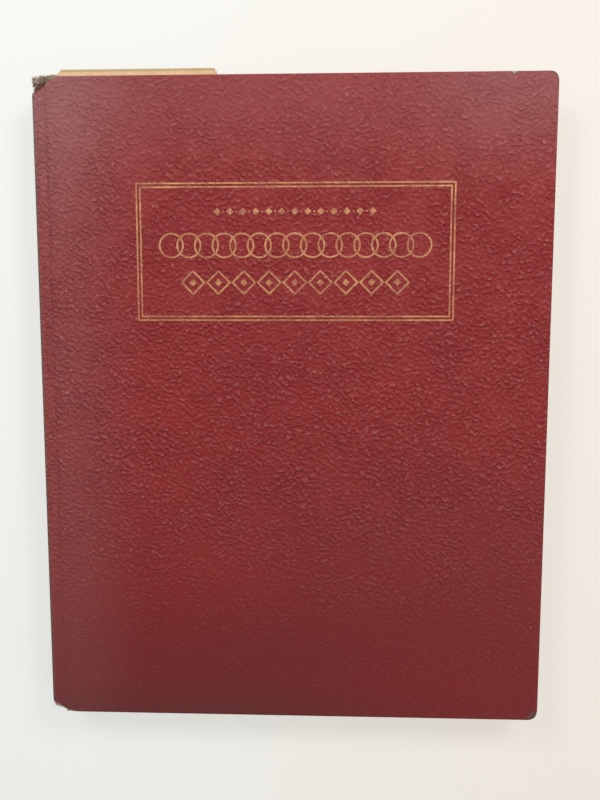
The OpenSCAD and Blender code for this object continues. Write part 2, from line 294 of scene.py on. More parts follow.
def gold_material():
    """Stamped foil, dulled and rubbed through to the leatherette in specks and streaks."""
    s = Shader("gold_foil")
    place = s.place()
    rub = s.noise(s.scaled(place, 0.7, 1.0), 1100, 3.0, 0.65)
    worn = s.step(s.math("ADD", rub, s.times(s.noise(place, 90, 2.0), 0.55)), 0.74, 0.9)
    tone = s.mix(s.step(s.noise(place, 260, 2.0), 0.3, 0.7), rgb(168, 107, 66), rgb(190, 137, 94))
    tone = s.mix(s.times(worn, 0.85), tone, rgb(142, 70, 58))
    metal = s.times(s.minus(1.0, worn), 0.25)
    return s.finish(Base_Color=tone, Metallic=metal, Roughness=0.55, Normal=s.bump(rub, 0.1 * MM, 0.6))


# ---- Materials: paper ----

# The print sits a little towards the fore-edge
PRINT_X = (flyleaf_lo.x + flyleaf_hi.x) / 2 + 4 * MM
PRINT_Y = (flyleaf_lo.y + flyleaf_hi.y) / 2
PRINT_HALF_W, PRINT_HALF_H = 92 * MM, 126 * MM
THICK_RULE, BOX_RULE, THIN_RULE = 0.7 * MM, 0.35 * MM, 0.3 * MM
RULE_GAP = 2 * MM
BOX_COLUMNS, BOX_ROWS = 4, 5
GRID_HALF_W, GRID_HALF_H = PRINT_HALF_W - 8 * MM, PRINT_HALF_H - 16 * MM
BOX_PITCH_X, BOX_PITCH_Y = 2 * GRID_HALF_W / BOX_COLUMNS, 2 * GRID_HALF_H / BOX_ROWS
BOX_HALF_W, BOX_HALF_H = BOX_PITCH_X / 2 - 5 * MM, BOX_PITCH_Y / 2 - 6 * MM
HEADING_Y, HEADING_HALF_W, HEADING_HALF_H = PRINT_Y + PRINT_HALF_H - 11 * MM, 32 * MM, 0.3 * MM
# In mm: how far inside the print's edge a border lies, or a lozenge's half width, and how thick the line is
TITLE_BORDERS = ((0, 0.8), (2.2, 0.35), (7, 0.35))
TITLE_LOZENGES = ((46, 0.5), (43, 0.9), (20, 0.5))
LOZENGE_Y = PRINT_Y + 40 * MM
LOZENGE_SQUAT = 1.6


def aged_paper(name, colour, foxing):
    """The shader, colour and normal of paper with fibres and stains, browner where wear rises."""
    s = Shader(name)
    uv = s.uv()
    fibre = s.noise(s.scaled(uv, 1.0, 0.7), 1500, 3.0, 0.6)
    stain = s.step(s.noise(uv, 22, 4.0, 0.6), 0.5, 0.8)
    tone = s.mix(s.times(stain, foxing), colour, rgb(190, 158, 112))
    tone = s.mix(s.step(fibre, 0.3, 0.7, 0.0, 0.12), tone, rgb(150, 124, 88))
    tone = s.mix(s.times(s.attribute("wear"), 0.55, clamp=True), tone, rgb(176, 138, 92))
    return s, tone, s.bump(fibre, 0.03 * MM, 0.5)


def endpaper_material():
    s, tone, normal = aged_paper("endpaper", rgb(229, 209, 177), foxing=0.45)
    return s.finish(Base_Color=tone, Roughness=0.86, Normal=normal)


def album_page_material():
    """A cream album page: a double ruled border and rows of ruled boxes for stamps, in grey-brown ink."""
    s, tone, normal = aged_paper("album_page", rgb(233, 218, 190), foxing=0.35)
    x, y, _ = s.split(s.uv())
    off_x, off_y = s.away(x, PRINT_X), s.away(y, PRINT_Y)
    ink = s.larger(s.box_line(off_x, off_y, PRINT_HALF_W, PRINT_HALF_H, THICK_RULE),
                   s.box_line(off_x, off_y, PRINT_HALF_W - RULE_GAP, PRINT_HALF_H - RULE_GAP, THIN_RULE))

    # Distances from a cell's middle. The print's middle is between two columns, and in the middle of a row
    in_cell_x = s.minus(BOX_PITCH_X / 2, s.math("PINGPONG", off_x, BOX_PITCH_X / 2))
    in_cell_y = s.math("PINGPONG", off_y, BOX_PITCH_Y / 2)
    boxes = s.box_line(in_cell_x, in_cell_y, BOX_HALF_W, BOX_HALF_H, BOX_RULE)
    in_grid = s.times(s.below(off_x, GRID_HALF_W), s.below(off_y, GRID_HALF_H))
    heading = s.times(s.band(y, HEADING_Y, HEADING_HALF_H), s.below(off_x, HEADING_HALF_W))
    ink = s.larger(s.larger(ink, s.times(boxes, in_grid)), heading)
    ink = s.times(ink, s.noise(s.uv(), 2500, 2.0))
    tone = s.mix(s.times(ink, 1.1, clamp=True), tone, rgb(98, 88, 74))
    return s.finish(Base_Color=tone, Roughness=0.85, Normal=normal)


def title_page_material():
    """The title leaf: ruled borders and a generic ornament of lozenges, with no words."""
    s, tone, normal = aged_paper("title_page", rgb(234, 219, 192), foxing=0.4)
    x, y, _ = s.split(s.uv())
    off_x, off_y = s.away(x, PRINT_X), s.away(y, PRINT_Y)
    ink = 0.0
    for inset, line in TITLE_BORDERS:
        half_w, half_h = PRINT_HALF_W - inset * MM, PRINT_HALF_H - inset * MM
        ink = s.larger(ink, s.box_line(off_x, off_y, half_w, half_h, line * MM))
    lozenge = s.math("ADD", off_x, s.times(s.away(y, LOZENGE_Y), LOZENGE_SQUAT))
    for size, line in TITLE_LOZENGES:
        ink = s.larger(ink, s.band(lozenge, size * MM, line / 2 * MM))
    tone = s.mix(s.times(ink, 0.8), tone, rgb(112, 52, 46))
    return s.finish(Base_Color=tone, Roughness=0.85, Normal=normal)


def page_edge_material():
    """Cut edges of stacked leaves, a little browner than their faces."""
    s = Shader("page_edge")
    streak = s.noise(s.scaled(s.place(), 90, 90, 2600), 1.0, 3.0, 0.6)
    tone = s.mix(s.step(streak, 0.25, 0.75), rgb(206, 182, 148), rgb(240, 224, 199))
    return s.finish(Base_Color=tone, Roughness=0.9)


def manila_material(name, dark, light, aged):
    """Buff kraft paper with faint fibres and a creased, handled look."""
    s = Shader(name)
    uv = s.uv()
    fibre = s.noise(s.scaled(uv, 0.5, 1.0), 1300, 4.0, 0.65)
    crease = s.noise(s.warped(uv, 60, 0.01), 90, 3.0, 0.6)
    tone = s.mix(s.step(fibre, 0.3, 0.7), dark, light)
    tone = s.mix(s.step(crease, 0.4, 0.7, 0.0, 0.35), tone, aged)
    tone = s.mix(s.attribute("wear"), tone, aged)
    return s.finish(Base_Color=tone, Roughness=0.8, Normal=s.bump(fibre, 0.03 * MM, 0.4))


# ---- Materials: board, fibres, gauze and wire ----

THREAD_PITCH = 0.9 * MM


def board_material():
    """Grey-brown pulp board."""
    s = Shader("binders_board")
    pulp = s.noise(s.place(), 1400, 4.0, 0.7)
    tone = s.mix(pulp, rgb(120, 108, 90), rgb(166, 152, 126))
    return s.finish(Base_Color=tone, Roughness=0.92, Normal=s.bump(pulp, 0.1 * MM, 0.5))


def fibre_material(name, dark, light):
    """Loose cloth and pulp fibres."""
    s = Shader(name)
    tone = s.mix(s.step(s.noise(s.place(), 1500, 2.0), 0.35, 0.65), dark, light)
    return s.finish(Base_Color=tone, Roughness=0.95)


def mull_material():
    """Open gauze stiffened with glue."""
    s = Shader("mull")
    x, y, _ = s.split(s.place())
    weave = s.larger(*(s.math("SINE", s.times(along, 2 * math.pi / THREAD_PITCH)) for along in (x, y)))
    tone = s.mix(s.step(weave, 0.0, 0.8), rgb(176, 160, 122), rgb(222, 214, 192))
    return s.finish(Base_Color=tone, Roughness=0.9, Normal=s.bump(weave, 0.12 * MM, 0.6))


def wire_material():
    """Steel wire with patches of rust."""
    s = Shader("staple_wire")
    rust = s.step(s.noise(s.place(), 700, 3.0, 0.6), 0.55, 0.75)
    tone = s.mix(rust, rgb(150, 149, 146), rgb(112, 74, 48))
    return s.finish(Base_Color=tone, Metallic=s.minus(1.0, rust), Roughness=0.42)


LEATHER = leatherette_material()
ENDPAPER = endpaper_material()
ALBUM_PAGE = album_page_material()
TITLE_PAGE = title_page_material()
PAGE_EDGE = page_edge_material()
GOLD = gold_material()
BOARD = board_material()
MULL = mull_material()
WIRE = wire_material()
MANILA = manila_material("manila", rgb(216, 178, 138), rgb(234, 199, 161), rgb(202, 162, 120))
# The back panel's copy of the paper is darker and more olive: painted shade
MANILA_BACK_PAINTED_SHADE = manila_material("manila_back_painted_shade", rgb(186, 166, 120), rgb(206, 188, 144), rgb(172, 150, 106))
FLUFF_DARK = fibre_material("fluff_dark", rgb(94, 52, 44), rgb(138, 84, 70))
FLUFF_OLIVE = fibre_material("fluff_olive", rgb(130, 103, 80), rgb(174, 146, 116))
FLUFF_TAN = fibre_material("fluff_tan", rgb(196, 158, 132), rgb(224, 192, 166))
FLUFF_PALE = fibre_material("fluff_pale", rgb(176, 160, 148), rgb(222, 210, 200))


# ---- Mesh helpers ----

def lay_on_points(mesh, plan, attributes):
    """Gives each point of a mesh its flat (u, v) place in metres and its named values."""
    layer = mesh.uv_layers.new(name="plan")
    corner_points = np.empty(len(mesh.loops), int)
    mesh.loops.foreach_get("vertex_index", corner_points)
    layer.data.foreach_set("uv", plan[corner_points].ravel())
    for key, values in attributes.items():
        mesh.attributes.new(key, "FLOAT", "POINT").data.foreach_set("value", values.ravel())


def add_object(mesh):
    obj = bpy.data.objects.new(mesh.name, mesh)
    bpy.context.scene.collection.objects.link(obj)
    return obj


def add_mesh(name, points, faces, plan=None, attributes=None, smooth_angle=None):
    """A mesh object from arrays."""
    mesh = bpy.data.meshes.new(name)
    mesh.from_pydata([tuple(p) for p in points], [], [tuple(f) for f in faces])
    if plan is not None:
        lay_on_points(mesh, plan, attributes)
    mesh.update()
    if smooth_angle is not None:
        mesh.polygons.foreach_set("use_smooth", [True] * len(mesh.polygons))
        mesh.set_sharp_from_angle(angle=math.radians(smooth_angle))
    return add_object(mesh)


def paint(obj, materials, kinds=None):
    """Gives an object its materials. kinds holds each face's place among them."""
    for material in materials:
        obj.data.materials.append(material)
    if kinds is not None:
        obj.data.polygons.foreach_set("material_index", kinds)


def spaced(lo, hi, step):
    """Places from lo to hi, about a step apart."""
    return list(np.linspace(lo, hi, max(2, int(round((hi - lo) / step)) + 1)))


def columns_of(*grids):
    """Grids of the same shape as the columns of one list of points."""
    return np.stack([grid.ravel() for grid in grids], 1)


def noise_on(x, y, scale, seed, push=0.0):
    """Smooth noise from -1 to 1 on grids of places, which push moves along."""
    at = seed + push
    places = zip(x.ravel() * scale + at, y.ravel() * scale - at)
    return np.array([noise.noise((px, py, seed * scale)) for px, py in places]).reshape(x.shape)


def sheet_faces(rows, cols):
    """Faces of a sheet whose points are a grid for each side, and those that close it round its rim."""
    faces = []
    other = rows * cols
    for row in range(rows - 1):
        for col in range(cols - 1):
            a = row * cols + col
            faces.append((a, a + cols, a + cols + 1, a + 1))
            faces.append((other + a, other + a + 1, other + a + cols + 1, other + a + cols))
    rim = list(range(cols)) + [row * cols + cols - 1 for row in range(1, rows)]
    rim += [(rows - 1) * cols + col for col in range(cols - 2, -1, -1)]
    rim += [row * cols for row in range(rows - 2, 0, -1)]
    return faces, [(a, b, other + b, other + a) for a, b in zip(rim, rim[1:] + rim[:1])]


def edge_age(points, lo, hi, width):
    """How brown a leaf is towards its three open edges: 0.8 at an edge and 0 past width inside it."""
    away = np.minimum(hi.x - points[:, 0], np.minimum(points[:, 1] - lo.y, hi.y - points[:, 1]))
    return 0.8 * np.clip(1 - away / width, 0, 1) ** 1.5


# ---- Covering: one sheet over half the spine, the pressed joint and a board ----

EDGE_R = 0.9 * MM
JOINT_EDGE_R = 0.3 * MM
SPINE_R = 1.15 * MM
SPINE_CORNER_R = 1.5 * MM
CLOTH_T = 0.4 * MM
JOINT_D = 0.62 * MM
JOINT_LO, JOINT_HI = 1.3 * MM, 7.3 * MM
JOINT_FALL, JOINT_RISE = 1.7 * MM, 2.7 * MM
TURN_IN = 15 * MM
LIP_X, LIP_LO, LIP_HI = cover_w - TURN_IN, TURN_IN, cover_h - TURN_IN
BOARD_INNER = covered_t - CLOTH_T
# How far along the spine a worn corner reaches
WORN_BACK_L = 18 * MM
# How near its ends the covering is turned in over the spine card, and where it then lies
CAP_L, CAP_X = 0.35 * MM, 1.9 * MM
# How far from the fore-edge and from the spine a rounded corner draws the covering in
FORE_REACH, SPINE_REACH = 16 * MM, 9 * MM
# A board is never quite flat, and the covering is a little uneven over it
BOARD_WAVE, CLOTH_WAVE = 0.10 * MM, 0.05 * MM
# Rubbed strips along the rim and along the spine's edge; the spine's strip is partly painted shade
RIM_RUB_W, SPINE_RUB_AND_SHADE_W = 1.3 * MM, 1.9 * MM
# The grain is calm over the tail end, and less so over the head end
CALM_TAIL_L, CALM_HEAD_L = 135 * MM, 48 * MM
# Rubbed nicks on the rim: x, y, size and strength
FRONT_NICKS = [(205.6 * MM, 285.6 * MM, 2.2 * MM, 1.7)]
BACK_NICKS = [(60 * MM, 0 * MM, 2.5 * MM, 1.0)]


def in_mm(**sizes):
    """Named sizes in mm, as metres."""
    return {key: size * MM for key, size in sizes.items()}


# Each corner's radius in plan, or how far and how wide it is worn back, and how far round it is rubbed
FRONT_CORNERS = {"head_fore": in_mm(radius=3.8, rubbed=4.6),
                 "tail_fore": in_mm(radius=4.8, rubbed=6.8),
                 "head_spine": in_mm(lost=8.4, width=12.2, rubbed=2.4),
                 "tail_spine": in_mm(lost=6.0, width=11.0, rubbed=3.0)}
BACK_CORNERS = {"head_fore": in_mm(radius=3.4, rubbed=3.6),
                "tail_fore": in_mm(radius=4.2, rubbed=4.4),
                "head_spine": in_mm(lost=1.2, width=5, rubbed=3.6),
                "tail_spine": in_mm(lost=1.6, width=5, rubbed=4.2)}


def rounded(radius, inside):
    """How far an edge rounded to this radius falls back, at a distance inside it."""
    return radius - np.sqrt(np.maximum(radius ** 2 - np.maximum(radius - inside, 0) ** 2, 0))


def joint_depth(x):
    """Depth of the pressed joint under the cover's face."""
    return JOINT_D * smooth(JOINT_LO, JOINT_LO + JOINT_FALL, x) * fading(JOINT_HI - JOINT_RISE, JOINT_HI, x)


def arc(cx, cy, r, start, end, count):
    """Points on a round stretch, from one angle to another in degrees."""
    angles = [math.radians(a) for a in np.linspace(start, end, count)]
    return [(cx + r * math.cos(a), cy + r * math.sin(a)) for a in angles]


def covering_section():
    """The covering's closed outline across the album, as (x, depth under the face), and its outer count."""
    outer = [(0.0, depth) for depth in spaced(album_t / 2, SPINE_R, 1.6 * MM)[:-1]]
    outer += arc(SPINE_R, SPINE_R, SPINE_R, 180, 270, 6)
    outer += [(x, float(joint_depth(x))) for x in spaced(JOINT_LO, JOINT_HI, 0.4 * MM)[1:]]
    outer += [(x, 0.0) for x in spaced(JOINT_HI, cover_w - EDGE_R, 2.0 * MM)[1:-1]]
    outer += arc(cover_w - EDGE_R, EDGE_R, EDGE_R, -90, 0, 5)
    outer += arc(cover_w - EDGE_R, covered_t - EDGE_R, EDGE_R, 0, 90, 5)
    inner = [(x, covered_t) for x in (cover_w - 5 * MM, cover_w - 10 * MM, LIP_X)]
    inner += [(x, BOARD_INNER) for x in reversed(spaced(board_x + 9 * MM, LIP_X - 0.3 * MM, 8 * MM))]
    inner += [(board_x + step * MM, BOARD_INNER) for step in (6, 4, 2, 0)]
    inner += [(board_x, float(joint_depth(board_x)) + CLOTH_T)]
    inner += [(x, float(joint_depth(x)) + CLOTH_T) for x in spaced(board_x, 1.5 * MM, 0.5 * MM)[1:]]
    inner += [(CLOTH_T, 1.1 * CLOTH_T), (CLOTH_T, album_t / 4), (CLOTH_T, album_t / 2)]
    return np.array(outer + inner), len(outer)


def end_stations():
    """Places along the album, close together where the covering rounds its ends."""
    near = [n * MM for n in (0, 0.12, 0.3, 0.55, 0.9, 1.5, 2.3, 3.4, 4.8, 6.6, 9, 12, 14.7, 15.3)]
    even = spaced(17.5 * MM, cover_h - 17.5 * MM, 2.2 * MM)
    return np.array(near + even + [cover_h - n for n in reversed(near)])


def round_ends(x, depth, from_end, is_outer):
    """Rounds the head and tail edges: the outer side goes in and the inner side comes out."""
    on_board = smooth(board_x - 1 * MM, board_x + 1.5 * MM, x)
    drop = rounded(JOINT_EDGE_R + (EDGE_R - JOINT_EDGE_R) * on_board, from_end)
    lower = is_outer & (depth > covered_t / 2) & (x > cover_w / 2)
    inward = np.where(lower | (~is_outer & (x >= board_x)), -1.0, 1.0)
    inward = np.where(~is_outer & (x < board_x), 0.0, inward)
    spine_side = is_outer & (x <= SPINE_R / 2) & (depth >= SPINE_R / 2)
    depth = depth + np.where(spine_side, 0.0, drop * inward)
    x = x + np.where(spine_side, drop, 0.0)
    turned = (from_end < TURN_IN) & ~is_outer & (x >= board_x + 0.1 * MM)
    depth = np.where(turned, np.maximum(depth, covered_t - drop), depth)
    capped = ~is_outer & (x < 0.6 * MM) & (depth > 2 * MM) & (from_end < CAP_L)
    return np.where(capped, CAP_X, x), depth


def round_corners(x, from_end, head, corners):
    """Rounds the four corners in plan."""
    fore_r = np.where(head, corners["head_fore"]["radius"], corners["tail_fore"]["radius"])
    at_fore_edge = np.clip((x - (cover_w - FORE_REACH)) / FORE_REACH, 0, 1) ** 1.6
    x = x - rounded(fore_r, from_end) * at_fore_edge
    return x + rounded(SPINE_CORNER_R, from_end) * fading(0.5 * MM, SPINE_REACH, x)


def worn_back(x, depth, corner):
    """How far the covering is worn back at a spine corner."""
    lost = corner["lost"] * np.clip(1 - x / corner["width"], 0, 1) ** 1.35
    return np.minimum(lost, 0.82 * corner["lost"]) * fading(3 * MM, 9 * MM, depth)


def draw_back(x, y, depth, from_end, head, corners):
    """Draws the covering back from its ends at the worn spine corners."""
    at_head, at_tail = (worn_back(x, depth, corners[key]) for key in ("head_spine", "tail_spine"))
    shrink = np.where(head, at_head, at_tail) * np.clip(1 - from_end / WORN_BACK_L, 0, 1)
    return y + np.where(head, -shrink, shrink)


def sink_unevenly(x, y, depth, from_end, is_outer, seed):
    """Sinks the cover's face here and there, by less than its two waves together."""
    board_wave = (noise_on(x, y, 9, seed) * 0.5 + 0.5) * BOARD_WAVE
    cloth_wave = (noise_on(x, y, 55, seed) * 0.5 + 0.5) * CLOTH_WAVE
    on_face = smooth(board_x, board_x + 4 * MM, x) * (is_outer & (depth < covered_t / 2))
    return depth + (board_wave + cloth_wave) * on_face * smooth(0, 2 * MM, from_end)


def cover_wear(x, y, depth, from_end, corners, nicks, seed):
    """How far the covering is rubbed through at its edges and corners; along the spine's edge this is partly
    painted shade.
    """
    ragged = noise_on(x, y, 160, seed, push=3) * 0.5 + 0.5
    rim = np.minimum(from_end, cover_w - x)
    wear = np.clip(1 - rim / RIM_RUB_W, 0, 1) * (0.36 + 0.36 * ragged)
    # Along the spine's edge the wear is raised so that it also paints shade there
    spine_edge_rub_and_shade = np.clip(1.3 - np.hypot(x, depth) / SPINE_RUB_AND_SHADE_W, 0, 1)
    wear = np.maximum(wear, np.minimum(spine_edge_rub_and_shade * (0.64 + 0.3 * ragged), 0.78))
    for key, corner in corners.items():
        corner_x = 0.0 if key.endswith("spine") else cover_w
        corner_y = cover_h if key.startswith("head") else 0.0
        away = np.sqrt((x - corner_x) ** 2 + (y - corner_y) ** 2 + (0.7 * depth) ** 2)
        wear = np.maximum(wear, np.clip(1.25 - away / corner["rubbed"], 0, 1) * (0.75 + 0.5 * ragged))
    for nick_x, nick_y, size, strength in nicks:
        away = np.hypot(x - nick_x, y - nick_y)
        wear = np.maximum(wear, np.clip(1 - away / size, 0, 1) * strength)
    return wear


def cover_painted_sheen(x, y):
    """How much painted sheen pales the cover, towards the head edge and the spine."""
    from_head = cover_h - y
    at_spine = 0.12 * fading(8 * MM, 50 * MM, x)
    at_head_left = 0.13 * fading(0, 70 * MM, x) * fading(0, 100 * MM, from_head)
    right = smooth(cover_w - 75 * MM, cover_w - 20 * MM, x)
    return at_spine + at_head_left + fading(0, 60 * MM, from_head) * (0.10 + 0.12 * right)


def cover_painted_shade(x, y):
    """How much painted shade darkens the cover, towards the tail."""
    at_tail = fading(5 * MM, 80 * MM, y) * (0.36 - 0.24 * smooth(0.35 * cover_w, 0.85 * cover_w, x))
    at_tail = at_tail * (1 - 0.35 * fading(8 * MM, 50 * MM, x))
    lower_half = fading(75 * MM, 150 * MM, y) * smooth(-30 * MM, 50 * MM, y)
    lower_half = lower_half * (0.08 + 0.13 * smooth(0.2 * cover_w, 0.7 * cover_w, x))
    return at_tail + lower_half + fading(0, 18 * MM, y) * (0.19 - 0.06 * smooth(0, cover_w, x))


def end_cap(section, outer_count):
    """The faces that close an end of the covering, as a strip between its outer and its inner line."""
    tip = int(np.argmax(section[:outer_count, 0]))
    upper = list(range(tip + 1))
    lower = list(range(len(section) - 1, tip, -1))

    def reach_of_next(line, k):
        if k == len(line) - 1:
            return math.inf
        x, depth = section[line[k + 1]]
        return x - depth if x < 1 * MM else x

    faces, i, j = [], 0, 0
    while i < len(upper) - 1 or j < len(lower) - 1:
        if reach_of_next(upper, i) <= reach_of_next(lower, j):
            faces.append((lower[j], upper[i + 1], upper[i]))
            i += 1
        else:
            faces.append((lower[j], lower[j + 1], upper[i]))
            j += 1
    return faces


def covering_faces(section, outer_count, rows):
    """The faces round the covering, and those that close its two ends."""
    count = len(section)
    faces = []
    for row in range(rows - 1):
        for col in range(count):
            a, b = row * count + col, row * count + (col + 1) % count
            faces.append((a, b, b + count, a + count))
    cap = end_cap(section, outer_count)
    last = (rows - 1) * count
    return faces + cap + [tuple(last + i for i in reversed(face)) for face in cap]


def covering(cover, side, corners, nicks, seed):
    """The covering of the front cover, with side 1, or of the back cover, with side -1."""
    section, outer_count = covering_section()
    stations = end_stations()
    rows, count = len(stations), len(section)
    x = np.tile(section[:, 0], (rows, 1))
    depth = np.tile(section[:, 1], (rows, 1))
    y = np.repeat(stations[:, None], count, 1)
    from_end = np.minimum(y, cover_h - y)
    head = y > cover_h / 2
    is_outer = np.arange(count)[None, :] < outer_count

    x, depth = round_ends(x, depth, from_end, is_outer)
    x = round_corners(x, from_end, head, corners)
    y = draw_back(x, y, depth, from_end, head, corners)
    depth = sink_unevenly(x, y, depth, from_end, is_outer, seed)

    points = columns_of(x + spine_lo.x, y + spine_lo.y, album_t - depth if side > 0 else depth)
    faces = covering_faces(section, outer_count, rows)
    if side < 0:
        faces = [tuple(reversed(face)) for face in faces]

    # The plan runs along the outer line, and the inner side lies past its end
    steps = np.hypot(*np.diff(section[:outer_count], axis=0).T)
    along = np.concatenate([[0], np.cumsum(steps)])
    along = np.concatenate([along, section[outer_count:, 0] + along[-1] + 20 * MM])
    plan = columns_of(np.tile(along, (rows, 1)) * side, y)
    calm = 0.8 * fading(10 * MM, CALM_TAIL_L, y) + 0.4 * smooth(cover_h - CALM_HEAD_L, cover_h, y)
    # The last two values paint sheen towards the head and shade towards the tail into the cover's colour
    attributes = {"wear": cover_wear(x, y, depth, from_end, corners, nicks, seed),
                  "calm": calm, "painted_sheen": cover_painted_sheen(x, y), "painted_shade": cover_painted_shade(x, y)}
    obj = add_mesh(f"{cover}_covering", points, faces, plan, attributes, smooth_angle=50)
    paint(obj, [LEATHER])
    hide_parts(f"{cover}_leatherette", f"{cover}_joint_leatherette", "spine_leatherette")
    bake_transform(obj)


# ---- The card in the spine, and loose fibres at its two worn corners ----

CRUSH_DEPTHS = [depth * MM for depth in (9.0, 7.8, 6.8, 5.8, 4.8, 3.6, 2.0, 0.4)]
CARD_PROUD = 0.5 * MM
FIBRE_RINGS, FIBRE_SIDES = 5, 3
FIBRE_R_LO, FIBRE_R_HI = 0.04 * MM, 0.11 * MM
FRAY_DEPTH_LO, FRAY_DEPTH_HI = 0.25 * MM, 2.4 * MM
FRAY_PROUD, FRAY_FLOOR = 0.6 * MM, 0.3 * MM
# Each tuft's outer and inner line, as two places in mm: from the spine's outer face, and out past the edge
HEAD_FRAY = ((0.0, -0.3), (11.4, 0.6)), ((1.2, -7.4), (11.0, -0.6))
TAIL_FRAY = ((0.4, -3.2), (10.8, 0.3)), ((0.8, -5.2), (10.6, -0.8))


def worn_spine_card():
    """The card in the spine, with its front corners crushed back where the covering has worn away."""
    lo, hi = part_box("spine_card")

    def crushed(corner, depth):
        return max(0.0, float(worn_back(0, depth, FRONT_CORNERS[corner])) - CARD_PROUD)

    head = [(hi.y - crushed("head_spine", depth), album_t - depth) for depth in CRUSH_DEPTHS]
    tail = [(lo.y + crushed("tail_spine", depth), album_t - depth) for depth in reversed(CRUSH_DEPTHS)]
    outline = [(lo.y, lo.z), (hi.y, lo.z)] + head + tail
    count = len(outline)
    points = [(x, y, z) for x in (lo.x, hi.x) for y, z in outline]
    faces = [tuple(range(count - 1, -1, -1)), tuple(range(count, 2 * count))]
    faces += [(i, (i + 1) % count, count + (i + 1) % count, count + i) for i in range(count)]
    obj = add_mesh("worn_spine_card", points, faces)
    paint(obj, [BOARD])
    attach(obj, "text_block")
    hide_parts("spine_card")


def between(a, b, share):
    """The place at a share of the way from a to b."""
    return [start + (end - start) * share for start, end in zip(a, b)]


def fibre_points(place, heading, bend, radius, reach):
    """Rings of points round a short bent fibre, thinner towards both ends."""
    side = heading.orthogonal().normalized()
    up = heading.cross(side)
    points = []
    for ring in range(FIBRE_RINGS):
        t = ring / (FIBRE_RINGS - 1) - 0.5
        at = place + heading * reach * t + bend * reach * 0.35 * (t * t - 0.1)
        width = radius * (1.0 - 0.75 * abs(2 * t) ** 2)
        for corner in range(FIBRE_SIDES):
            a = 2 * math.pi * corner / FIBRE_SIDES
            points.append(at + (side * math.cos(a) + up * math.sin(a)) * width)
    return points


def fibre_faces(base):
    """The faces of a fibre whose points start at base."""
    faces = []
    last = base + (FIBRE_RINGS - 1) * FIBRE_SIDES
    for ring in range(base, last, FIBRE_SIDES):
        for corner in range(FIBRE_SIDES):
            a, b = ring + corner, ring + (corner + 1) % FIBRE_SIDES
            faces.append((a, b, b + FIBRE_SIDES, a + FIBRE_SIDES))
    return faces + [(base + 2, base + 1, base), (last, last + 1, last + 2)]


def fray(name, end, edge, outer, inner, count, length, materials):
    """
    A tuft of broken cloth and pulp at a worn corner: short bent fibres between an outer and an inner line.
    end is 1 at the head edge and -1 at the tail edge. The materials are for fibres near the inner line, near
    the outer line, and at the tuft's end away from the spine.
    """
    points, faces, kinds = [], [], []
    for _ in range(count):
        along, across = rng.uniform(0, 1), rng.uniform(0, 1) ** 0.8
        x, out = between(between(*outer, along), between(*inner, along), across)
        z = album_t - rng.uniform(FRAY_DEPTH_LO, FRAY_DEPTH_HI)
        place = Vector(spine_frame(x * MM, edge + end * out * MM, z))
        far_end = along > 0.72 + 0.2 * rng.uniform(0, 1)
        inner_share = 0.2 + 0.65 * float(smooth(0.25, 0.75, across))
        kind = 2 if far_end else int(rng.uniform(0, 1) > inner_share)
        heading = Vector((rng.normal(0, 1.0), rng.normal(0.1, 1.0), rng.normal(0.1, 0.45))).normalized()
        bend = Vector(rng.normal(0, 1, 3)).cross(heading)
        radius = rng.uniform(FIBRE_R_LO, FIBRE_R_HI)
        reach = length * rng.uniform(0.35, 1.0)
        new_faces = fibre_faces(len(points))
        points += fibre_points(place, heading, bend, radius, reach)
        faces += new_faces
        kinds += [kind] * len(new_faces)
    low = (spine_lo.x, spine_lo.y, FRAY_FLOOR)
    high = (spine_lo.x + cover_w, spine_hi.y + FRAY_PROUD, album_t)
    obj = add_mesh(name, np.clip(points, low, high), faces)
    paint(obj, materials, kinds)
    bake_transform(obj)


# ---- Leaves ----

TURNING_COLUMNS, FLAT_COLUMNS, LEAF_ROWS = 26, 12, 15
SECTION_LEAVES = 8
# Each leaf's paper, as parts of the room that it has
PAPER_PART = (0.05, 0.92)
LEAF_RIPPLE = 0.02 * MM
# How much narrower a leaf in a section may be cut, and how far it may lie off its place
LEAF_SLACK, LEAF_SHIFT = 0.35 * MM, 0.12 * MM
AGED_EDGE_W = 9 * MM


def leaf_stack(name, node, body, materials, seed, count=1):
    """
    A stack of separate thin leaves in the space of a CAD slab. One with a body of its own turns: it is
    carried on to its gripped margin and bends at the gutter. A second material is for the cut edges.
    """
    lo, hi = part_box(node)
    turning = body != "text_block"
    x0 = margin_hi.x if turning else lo.x
    columns = np.linspace(0, 1, 1 + (TURNING_COLUMNS if turning else FLAT_COLUMNS))
    columns = columns ** 1.6 if turning else columns
    pitch = (hi.z - lo.z) / count
    stacked = count > 1
    inset = LEAF_SHIFT if stacked else 0.0
    ripple = LEAF_RIPPLE if stacked else 2 * LEAF_RIPPLE
    all_points, all_faces, kinds = [], [], []
    for i in range(count):
        slack = rng.uniform(0, LEAF_SLACK) if stacked else 0.0
        shift = rng.uniform(-LEAF_SHIFT, LEAF_SHIFT) if stacked else 0.0
        rows = np.linspace(lo.y + inset + shift, hi.y - inset + shift, LEAF_ROWS)
        x, y = np.meshgrid(x0 + (hi.x - slack - x0) * columns, rows)
        lift = noise_on(x, y, 14, seed + i * 0.37) * ripple
        z0 = lo.z + i * pitch
        points = np.concatenate([columns_of(x, y, z0 + part * pitch + lift) for part in PAPER_PART])
        faces, sides = sheet_faces(*x.shape)
        all_faces += [tuple(v + i * len(points) for v in face) for face in faces + sides]
        kinds += [0] * len(faces) + [1] * len(sides)
        all_points.append(points)
    points = np.concatenate(all_points)
    obj = add_mesh(name, points, all_faces, points[:, :2], {"wear": edge_age(points, lo, hi, AGED_EDGE_W)})
    paint(obj, materials, kinds if len(materials) > 1 else None)
    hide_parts(node)
    if turning:
        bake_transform(obj)
    else:
        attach(obj, body)


# ---- Endpapers ----

ENDPAPER_T = 0.15 * MM
# In from the spine's outer face: the step off the mull tab on to the board
TAB_STEP_LO, TAB_STEP_HI = 31.0 * MM, 33.0 * MM
LIP_STEP_W = 1.8 * MM
SUNK_D = 0.92 * CLOTH_T
